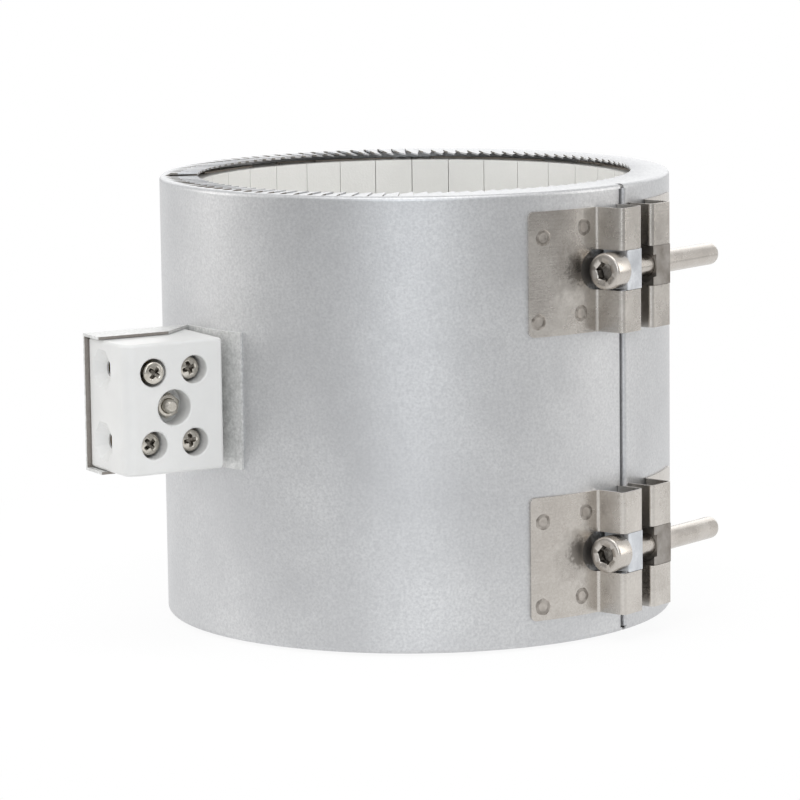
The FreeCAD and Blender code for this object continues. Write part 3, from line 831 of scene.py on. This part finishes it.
def nutRings(shape, threadRadius):
    flat, height = shape["flats"] / 2, shape["height"]
    corner = flat / math.cos(math.radians(30))
    hole = threadRadius + shape["holeClearance"]
    countersink = shape["countersink"]
    hexagon = {"sides": 6, "turnDegrees": shape["turnDegrees"]}
    crownStart, crownMiddle = shape["crown"]
    middleInset, topInset = shape["crownInset"]
    return [
        ringAlongX(0, hole),
        ringAlongX(0, flat - shape["seatInset"]),
        ringAlongX(shape["seatChamfer"], flat, **hexagon),
        ringAlongX(height - crownStart, flat, **hexagon),
        ringAlongX(height - crownMiddle, (flat + corner) / 2 - middleInset),
        ringAlongX(height, flat - topInset),
        ringAlongX(height, hole + countersink),
        ringAlongX(height - countersink, hole),
    ]


def makeFixing(shape, nut, steel):
    place = movedFrame(terminalFrame, 0, -shape["reach"], middleHeight("fixing_screw"))
    screw = makePiece("fixingScrew", *joinRings(fixingScrewRings(shape)), steel, place)
    seatPiece(screw, "band", "small_screw_steel", "fixing_screw")
    rings = nutRings(nut, shape["thread"][0])
    place = movedFrame(place, nut["seat"], 0, 0)
    piece = makePiece("fixingNut", *joinRings(rings, loop=True), steel, place)
    seatPiece(piece, "band", "small_screw_steel", "fixing_nut")


makeFixing(fixingShape, nutShape, smallScrewSteel)
print("fixing screw and nut made")


# Terminal block: soft-edged glazed ceramic with five wells and two wire entries
blockShape = {
    "back": 1.0,
    "front": 30.8,
    "innerEnd": 96.5,
    "outerEnd": 135.0,
    "height": 47.0,
    "outerCorner": 4.6,
    "outerCornerSteps": 7,
    "edge": 1.3,
    "edgeSteps": 4,
    "edgeFromDegrees": 35.0,
    "wellRadius": 5.0,
    "wellFloor": 12.0,
    "fixingWell": (6.4, 21.8, 2.9),  # radius, floor, radius of the hole below
    "rim": 0.55,
    "rimSteps": 3,
    "rimFlare": (1.6, 0.8),
    "poleOffset": 12.0,
    "poleSpacing": 26.0,
    "channel": 4.6,
    "entryWidth": 12.8,
    "entryDepth": 4.0,
    "entrySides": 8,
    "entryRim": 0.7,
    "lip": (2.9, 0.9),  # radius, depth
    "lipEdge": (0.2, 0.4),
    "channelStep": 0.05,
    "cutterStart": 2.0,
    "sharpDegrees": 40.0,
    "cutSharpDegrees": 42.0,
}
blockLook = {
    **firedClay, "roughness": 0.36, "roughnessSpread": 0.04, "gloss": 0.5,
    "dark": (0.70, 0.70, 0.69), "light": (0.755, 0.755, 0.745), "patchScale": 60.0,
    "speckle": 0.05, "bump": 0.08,
}


def roundedBlock(shape, height, material):
    front, back = shape["front"], shape["back"]
    outer, inner = shape["outerEnd"], shape["innerEnd"]
    size = (front - back, outer - inner, shape["height"])
    middle = ((front + back) / 2, -(outer + inner) / 2, height)
    work = bmesh.new()
    bmesh.ops.create_cube(work, size=1.0)
    for point in work.verts:
        point.co = Vector([middle[axis] + point.co[axis] * size[axis] for axis in range(3)])
    upright = [edge for edge in work.edges
               if all(end.co.x > middle[0] and end.co.y < middle[1] for end in edge.verts)]
    bmesh.ops.bevel(work, geom=upright, offset=shape["outerCorner"],
                    segments=shape["outerCornerSteps"], profile=0.5, affect="EDGES")
    sharp = [edge for edge in work.edges
             if edge.calc_face_angle(0) > math.radians(shape["edgeFromDegrees"])]
    bmesh.ops.bevel(work, geom=sharp, offset=shape["edge"],
                    segments=shape["edgeSteps"], profile=0.5, affect="EDGES")
    points = [tuple(point.co) for point in work.verts]
    faces = [tuple(point.index for point in face.verts) for face in work.faces]
    work.free()
    return makePiece(
        "terminalBlock", points, faces, material, terminalFrame, shape["sharpDegrees"])


def wellCutter(reach, height, radius, floor, shape, material):
    rim, front, start = shape["rim"], shape["front"], shape["front"] + shape["cutterStart"]
    flare, curve = shape["rimFlare"]
    rings = [
        ringAlongX(start, 0),
        ringAlongX(start, radius + rim * flare),
        ringAlongX(front, radius + rim),
    ]
    for sine, _ in quarterTurn(shape["rimSteps"]):
        rings.append(ringAlongX(front - rim * sine, radius + rim * (1 - sine) * curve))
    rings += [ringAlongX(floor, radius), ringAlongX(floor, 0)]
    place = movedFrame(terminalFrame, 0, -reach, height)
    return makePiece("cutter", *joinRings(rings), material, place)


def entryCutter(height, shape, material):
    # An eight-sided funnel, a round lip and the channel through to the pole
    end, rim, channel = shape["outerEnd"], shape["rim"], shape["channel"]
    across = shape["entryWidth"] / 2
    lip, lipDepth = shape["lip"]
    lipEdge, lipFlare = shape["lipEdge"]
    start = end + shape["cutterStart"]
    stop = shape["innerEnd"] - shape["cutterStart"]
    throat = end - shape["entryDepth"] + lipDepth
    funnel = {"sides": shape["entrySides"], "turnDegrees": 180 / shape["entrySides"]}
    rings = [
        ringAlongX(start, 0),
        ringAlongX(start, across + 2 * rim, **funnel),
        ringAlongX(end, across + rim, **funnel),
        ringAlongX(end - rim * shape["entryRim"], across, **funnel),
        ringAlongX(throat, lip + lipFlare, **funnel),
        ringAlongX(throat - lipEdge, lip),
        ringAlongX(throat - lipDepth, lip),
        ringAlongX(throat - lipDepth - shape["channelStep"], channel),
        ringAlongX(stop, channel),
        ringAlongX(stop, 0),
    ]
    place = movedFrame(terminalFrame, shape["poleOffset"], 0, height)
    outward = Matrix.Rotation(math.radians(-90), 4, "Z")
    return makePiece("cutter", *joinRings(rings), material, place @ outward)


def cutAway(piece, cutters, sharpDegrees):
    for cutter in cutters:
        cut = piece.modifiers.new("cut", "BOOLEAN")
        cut.operation = "DIFFERENCE"
        cut.solver = "MANIFOLD"
        cut.object = cutter
    bpy.context.view_layer.update()
    evaluated = piece.evaluated_get(bpy.context.evaluated_depsgraph_get())
    shaped = bpy.data.meshes.new_from_object(evaluated)
    piece.modifiers.clear()
    piece.data = shaped
    for cutter in cutters:
        bpy.data.objects.remove(cutter)
    shaped.shade_smooth()
    shaped.set_sharp_from_angle(angle=math.radians(sharpDegrees))
    level = piece.modifiers.new("normals", "WEIGHTED_NORMAL")
    level.keep_sharp = True


def makeBlock(shape, reaches):
    material = surfaceMaterial("glazedBlock", blockLook)
    height = middleHeight("terminal_block")
    piece = roundedBlock(shape, height, material)
    half = shape["poleSpacing"] / 2
    cutters = []
    for level in (height - half, height + half):
        cutters.append(entryCutter(level, shape, material))
        for reach in reaches:
            cutters.append(wellCutter(
                reach, level, shape["wellRadius"], shape["wellFloor"], shape, material))
    radius, floor, hole = shape["fixingWell"]
    middle = sum(reaches) / 2
    through = shape["back"] - shape["cutterStart"]
    cutters.append(wellCutter(middle, height, radius, floor, shape, material))
    cutters.append(wellCutter(middle, height, hole, through, shape, material))
    cutAway(piece, cutters, shape["cutSharpDegrees"])
    seatPiece(piece, "band", "block_ceramic", "terminal_block")


makeBlock(blockShape, terminalScrewShape["reaches"])
print("terminal block made")


# Spot welds on the clamp plates: radius and height of each ring, and azimuth and rise of each weld
weldShape = {
    "rings": ((0.0, 0.02), (1.1, 0.03), (1.7, 0.05), (2.1, 0.12), (2.5, 0.13), (2.8, 0.05),
              (3.0, -0.02)),
    "middleRings": 2,
    "steps": 28,
    "uneven": 0.16,
    "seed": 11,
    "places": {
        "upper": ((-23.5, 12.9), (-12.8, 15.5), (-24.8, -16.8), (-13.8, -15.0)),
        "lower": ((-24.0, 13.4), (-12.7, 15.0), (-24.2, -17.2), (-14.0, -15.2)),
    },
}
weldLook = {
    **bareSteel, "roughness": 0.42, "patchScale": 460.0,
    "dark": (0.12, 0.105, 0.09), "light": (0.50, 0.465, 0.43),
}
weldMiddleLook = {
    **bareSteel, "roughness": 0.32, "patchScale": 380.0,
    "dark": (0.36, 0.33, 0.30), "light": (0.60, 0.56, 0.52),
}


def weldRings(shape, azimuth, height, chance):
    # One weld laid on the plate, with its outline a little uneven
    count, plate = shape["steps"], band["plateRadius"]
    stretch = [1 + shape["uneven"] * (chance.random() - 0.5) for _ in range(count)]
    rings = []
    for radius, lift in shape["rings"]:
        ring = []
        for step in range(count if radius else 1):
            turn = 2 * math.pi * step / count
            reach = radius * (stretch[step] + stretch[step - 1]) / 2
            across = math.degrees(reach * math.cos(turn) / plate)
            up = height + reach * math.sin(turn)
            ring.append(tuple(aroundBand(plate + lift, azimuth + across, up) / mm))
        rings.append(ring)
    return rings


def makeWelds(shape):
    chance = random.Random(shape["seed"])
    material = surfaceMaterial("weldMark", weldLook)
    middleMaterial = surfaceMaterial("weldMiddle", weldMiddleLook)
    middleFaces = shape["middleRings"] * shape["steps"]
    for name, places in shape["places"].items():
        height = middleHeight("clamp_screw_" + name)
        for side, sideName in ((1, "Left"), (-1, "Right")):
            points, faces, middles = [], [], []
            for azimuth, rise in places:
                rings = weldRings(
                    shape, band["gapAzimuth"] + side * azimuth, height + rise, chance)
                newPoints, newFaces = joinRings(rings)
                middles += [index < middleFaces for index in range(len(newFaces))]
                faces += [tuple(len(points) + corner for corner in face[::-1])
                          for face in newFaces]
                points += newPoints
            label = "spotWelds" + name.title() + sideName
            piece = makePiece(label, points, faces, material, closed=False)
            paintFaces(piece, middleMaterial, lambda polygon: middles[polygon.index])
            seatPiece(piece, "band", "strap_steel")


makeWelds(weldShape)
print("spot welds made")


# Finishes for the CAD solids that stay, with their sharp edges broken where they show
strapLook = {
    **bareSteel, "roughness": 0.27, "dark": (0.52, 0.49, 0.455), "light": (0.69, 0.66, 0.62),
    "patchScale": 55.0, "lines": 0.12, "speckle": 0.3,
    # Painted shade of each screw's head on the plate beside it, with a darker middle, and a faint
    # smudge above
    "stainsAndShade": clampStainsAndShade(band["plateRadius"], [
        {"azimuth": -15.5, "rise": 0.0, "reach": 0.011, "ragged": 300.0, "share": 0.35,
         "colour": (0.28, 0.255, 0.23)},
        {"azimuth": -14.4, "rise": 0.8, "reach": 0.0058, "ragged": 900.0, "share": 0.75,
         "colour": (0.16, 0.145, 0.13)},
        {"azimuth": -20.0, "rise": 17.0, "reach": 0.014, "ragged": 160.0, "share": 0.15,
         "colour": (0.33, 0.29, 0.25)},
    ]),
}
bracketLook = {
    **bareSteel, "metallic": 0.35, "roughness": 0.42, "lines": 0.0,
    "dark": (0.66, 0.665, 0.655), "light": (0.86, 0.86, 0.85), "patchScale": 330.0,
    "speckle": 0.5, "speckleColour": (0.38, 0.38, 0.37), "speckleScale": 900.0,
    "edgeShare": 0.8, "edgeColour": (0.19, 0.16, 0.135),
    "edgeFacing": (0.7, 0.9), "edgeFrom": (0.0965, 0.0985),
}
platedBarLook = {
    **bareSteel, "roughness": 0.34, "dark": (0.52, 0.54, 0.57), "light": (0.77, 0.79, 0.82),
    "patchScale": 170.0, "speckle": 0.4, "speckleColour": (0.48, 0.50, 0.53), "lines": 0.0,
}
darkBarLook = {
    **bareSteel, "roughness": 0.42, "dark": (0.19, 0.17, 0.15), "light": (0.38, 0.36, 0.34),
    "patchScale": 190.0, "lines": 0.0,
}
brassLook = {
    **bareSteel, "dark": (0.48, 0.34, 0.15), "light": (0.60, 0.44, 0.21),
    "lineStretch": (60.0, 60.0, 60.0),
}
coilLook = {
    **bareSteel, "roughness": 0.5, "dark": (0.26, 0.23, 0.20), "light": (0.38, 0.34, 0.30),
}
fibreLook = {
    **firedClay, "roughness": 0.92, "speckleScale": 700.0, "speckle": 0.3, "bump": 0.6,
}
slotLooks = {
    "strap_steel": ("strapSteel", strapLook),
    "plated_bar": ("platedBar", platedBarLook),
    "dark_bar": ("darkBar", darkBarLook),
    "galvanised_sheet": ("galvanisedSheet", bracketLook),
    "pole_brass": ("poleBrass", brassLook),
    "coil_wire": ("coilWire", coilLook),
    "tile_ceramic": ("tileCeramic", firedClay),
    "fibre": ("ceramicFibre", fibreLook),
}
edgeShape = {
    # By a word in the name of the node
    "widths": {"strap": 0.18, "bar": 0.3, "tile": 0.04, "terminal_bracket": 0.12},
    "steps": 2,
    "fromDegrees": 40.0,
    "mergeWithin": 0.001,
}


def alongAxis(tree, value, axis):
    # How far a vector goes along one axis of the terminal block
    return vectorNode(
        tree, "DOT_PRODUCT", value, terminalFrame.to_3x3() @ Vector(axis)).outputs["Value"]


def darkenEdges(material, look):
    # The tray's sheared edges all face its open front, and the flange's end stays bright
    tree = material.node_tree
    shader = next(node for node in tree.nodes if node.type == "BSDF_PRINCIPLED")
    colour = shader.inputs["Base Color"].links[0].from_socket
    normal = addNode(tree, "ShaderNodeNewGeometry").outputs["Normal"]
    facing = alongAxis(tree, normal, (1.0, 0.0, 0.0))
    reach = alongAxis(tree, objectPlace(tree), (0.0, -1.0, 0.0))
    edge = rangeNode(tree, facing, *look["edgeFacing"], 0.0, look["edgeShare"])
    beyond = rangeNode(tree, reach, *look["edgeFrom"], 0.0, 1.0)
    share = mathNode(tree, "MULTIPLY", edge, beyond)
    setInputs(tree, shader, {"Base Color": mixColour(tree, share, colour, look["edgeColour"])})


def breakEdges(node, width, shape):
    weld = node.modifiers.new("weld", "WELD")
    weld.merge_threshold = shape["mergeWithin"] * mm
    bevel = node.modifiers.new("bevel", "BEVEL")
    bevel.width = width * mm
    bevel.segments = shape["steps"]
    bevel.limit_method = "ANGLE"
    bevel.angle_limit = math.radians(shape["fromDegrees"])
    smooth = node.modifiers.new("normals", "WEIGHTED_NORMAL")
    smooth.keep_sharp = False


def finishSolids():
    slotOfNode = {part["node"]: part["material_slot"] for part in frame["record"]["subparts"]}
    finishes = {}
    for name, node in cadNodes.items():
        if node.hide_render:
            continue
        slotName = slotOfNode[name]
        if slotName not in finishes:
            label, look = slotLooks[slotName]
            finishes[slotName] = surfaceMaterial(label, look)
            if "edgeColour" in look:
                darkenEdges(finishes[slotName], look)
        node.data.materials.clear()
        node.data.materials.append(finishes[slotName])
        for word, width in edgeShape["widths"].items():
            if word in name:
                breakEdges(node, width, edgeShape)
    print("finishes set:", len(finishes))


finishSolids()


# Studio: a pale table that meets the white background, a darker floor beyond it in front,
# soft lamps and a two-tone surround
studio = {
    "floorSize": 30.0,
    "floorDrop": 0.0003,
    "tableReach": (0.5, 0.98),
    "coveStart": (0.3, 0.9),
    "tableColour": (0.93, 0.93, 0.93),
    "beyondColour": (0.33, 0.33, 0.33),
    "shadowReach": (0.16, 0.3),
    "shadowShare": 0.1,
    "surroundBehind": (-0.55, 0.35),
    "surroundAbove": (0.25, 0.8),
    "surroundBright": 1.0,
    "surroundDim": 0.6,
}
lampColours = {"white": (1.0, 1.0, 1.0), "cool": (0.9, 0.95, 1.0), "warm": (1.0, 0.975, 0.94)}
lamps = {
    "backBox": {"place": (0.2, 1.9, 0.75), "size": (2.6, 0.9), "power": 8.0, "colour": "white"},
    "frontBox": {"place": (-0.1, -2.2, 0.75), "size": (1.1, 1.6), "power": 11.0, "colour": "cool"},
    "topBox": {"place": (0.0, -0.6, 1.8), "size": (1.6, 1.4), "power": 12.0, "colour": "white"},
    "leftBox": {"place": (-2.0, 0.3, 0.6), "size": (0.8, 1.6), "power": 8.0, "colour": "warm"},
    "rightBox": {"place": (1.9, -0.1, 0.6), "size": (0.8, 1.6), "power": 8.0, "colour": "warm"},
}


def separateAxes(tree, value):
    return setInputs(tree, addNode(tree, "ShaderNodeSeparateXYZ"), {0: value}).outputs


def floorMaterial(setup):
    # Plain white to the camera, metal and glass, apart from the shadow close to the object
    material, tree = blankMaterial("studioWhite")
    distance = vectorNode(tree, "LENGTH", objectPlace(tree)).outputs["Value"]
    depth = separateAxes(tree, objectPlace(tree))["Y"]
    onTable = mathNode(tree, "MAXIMUM", rangeNode(tree, distance, *setup["tableReach"], 1.0, 0.0),
                       rangeNode(tree, depth, *setup["coveStart"], 0.0, 1.0))
    paper = setInputs(tree, addNode(tree, "ShaderNodeBsdfDiffuse"), {
        "Color": mixColour(tree, onTable, setup["beyondColour"], setup["tableColour"])})
    glow = addNode(tree, "ShaderNodeEmission")
    rays = addNode(tree, "ShaderNodeLightPath").outputs
    seen = mathNode(tree, "MAXIMUM", rays["Is Camera Ray"], rays["Is Transmission Ray"])
    mirrored = mathNode(tree, "MULTIPLY", rays["Is Glossy Ray"], onTable)
    seen = mathNode(tree, "MAXIMUM", seen, mirrored)
    white = rangeNode(tree, distance, *setup["shadowReach"], 1.0 - setup["shadowShare"], 1.0)
    mix = setInputs(tree, addNode(tree, "ShaderNodeMixShader"), {
        0: mathNode(tree, "MULTIPLY", seen, white), 1: paper.outputs[0], 2: glow.outputs[0]})
    output = addNode(tree, "ShaderNodeOutputMaterial")
    setInputs(tree, output, {"Surface": mix.outputs[0]})
    return material


def makeFloor(setup):
    half = setup["floorSize"] / 2
    low = cadBox[0].z - setup["floorDrop"]
    corners = [(-half, -half, low), (half, -half, low), (half, half, low), (-half, half, low)]
    mesh = bpy.data.meshes.new("studioFloor")
    mesh.from_pydata(corners, [], [(0, 1, 2, 3)])
    floor = linkObject("studioFloor", mesh)
    mesh.materials.append(floorMaterial(setup))


def makeSurround(setup):
    # Bright behind and above, dimmer in front, and plain white where the camera sees it
    world = bpy.data.worlds.new("studioRoom")
    bpy.context.scene.world = world
    world.use_nodes = True
    tree = world.node_tree
    tree.nodes.clear()
    axes = separateAxes(tree, addNode(tree, "ShaderNodeTexCoord").outputs["Generated"])
    behind = rangeNode(tree, axes["Y"], *setup["surroundBehind"], 0.0, 1.0)
    above = rangeNode(tree, axes["Z"], *setup["surroundAbove"], 0.0, 1.0)
    share = mathNode(tree, "MAXIMUM", behind, above)
    level = rangeNode(tree, share, 0.0, 1.0, setup["surroundDim"], setup["surroundBright"])
    camera = addNode(tree, "ShaderNodeLightPath").outputs["Is Camera Ray"]
    room = setInputs(tree, addNode(tree, "ShaderNodeBackground"), {
        "Strength": mathNode(tree, "MAXIMUM", level, camera)})
    output = addNode(tree, "ShaderNodeOutputWorld")
    setInputs(tree, output, {"Surface": room.outputs[0]})


def areaLamp(name, setup):
    # A soft box that faces the middle of the object
    lamp = bpy.data.lights.new(name, "AREA")
    lamp.color = lampColours[setup["colour"]]
    lamp.shape = "RECTANGLE"
    lamp.size, lamp.size_y = setup["size"]
    lamp.energy = setup["power"]
    box = linkObject(name, lamp)
    box.location = setup["place"]
    box.rotation_euler = (Vector() - box.location).to_track_quat("-Z", "Y").to_euler()


makeFloor(studio)
makeSurround(studio)
for name, setup in lamps.items():
    areaLamp(name, setup)
print("studio lit")
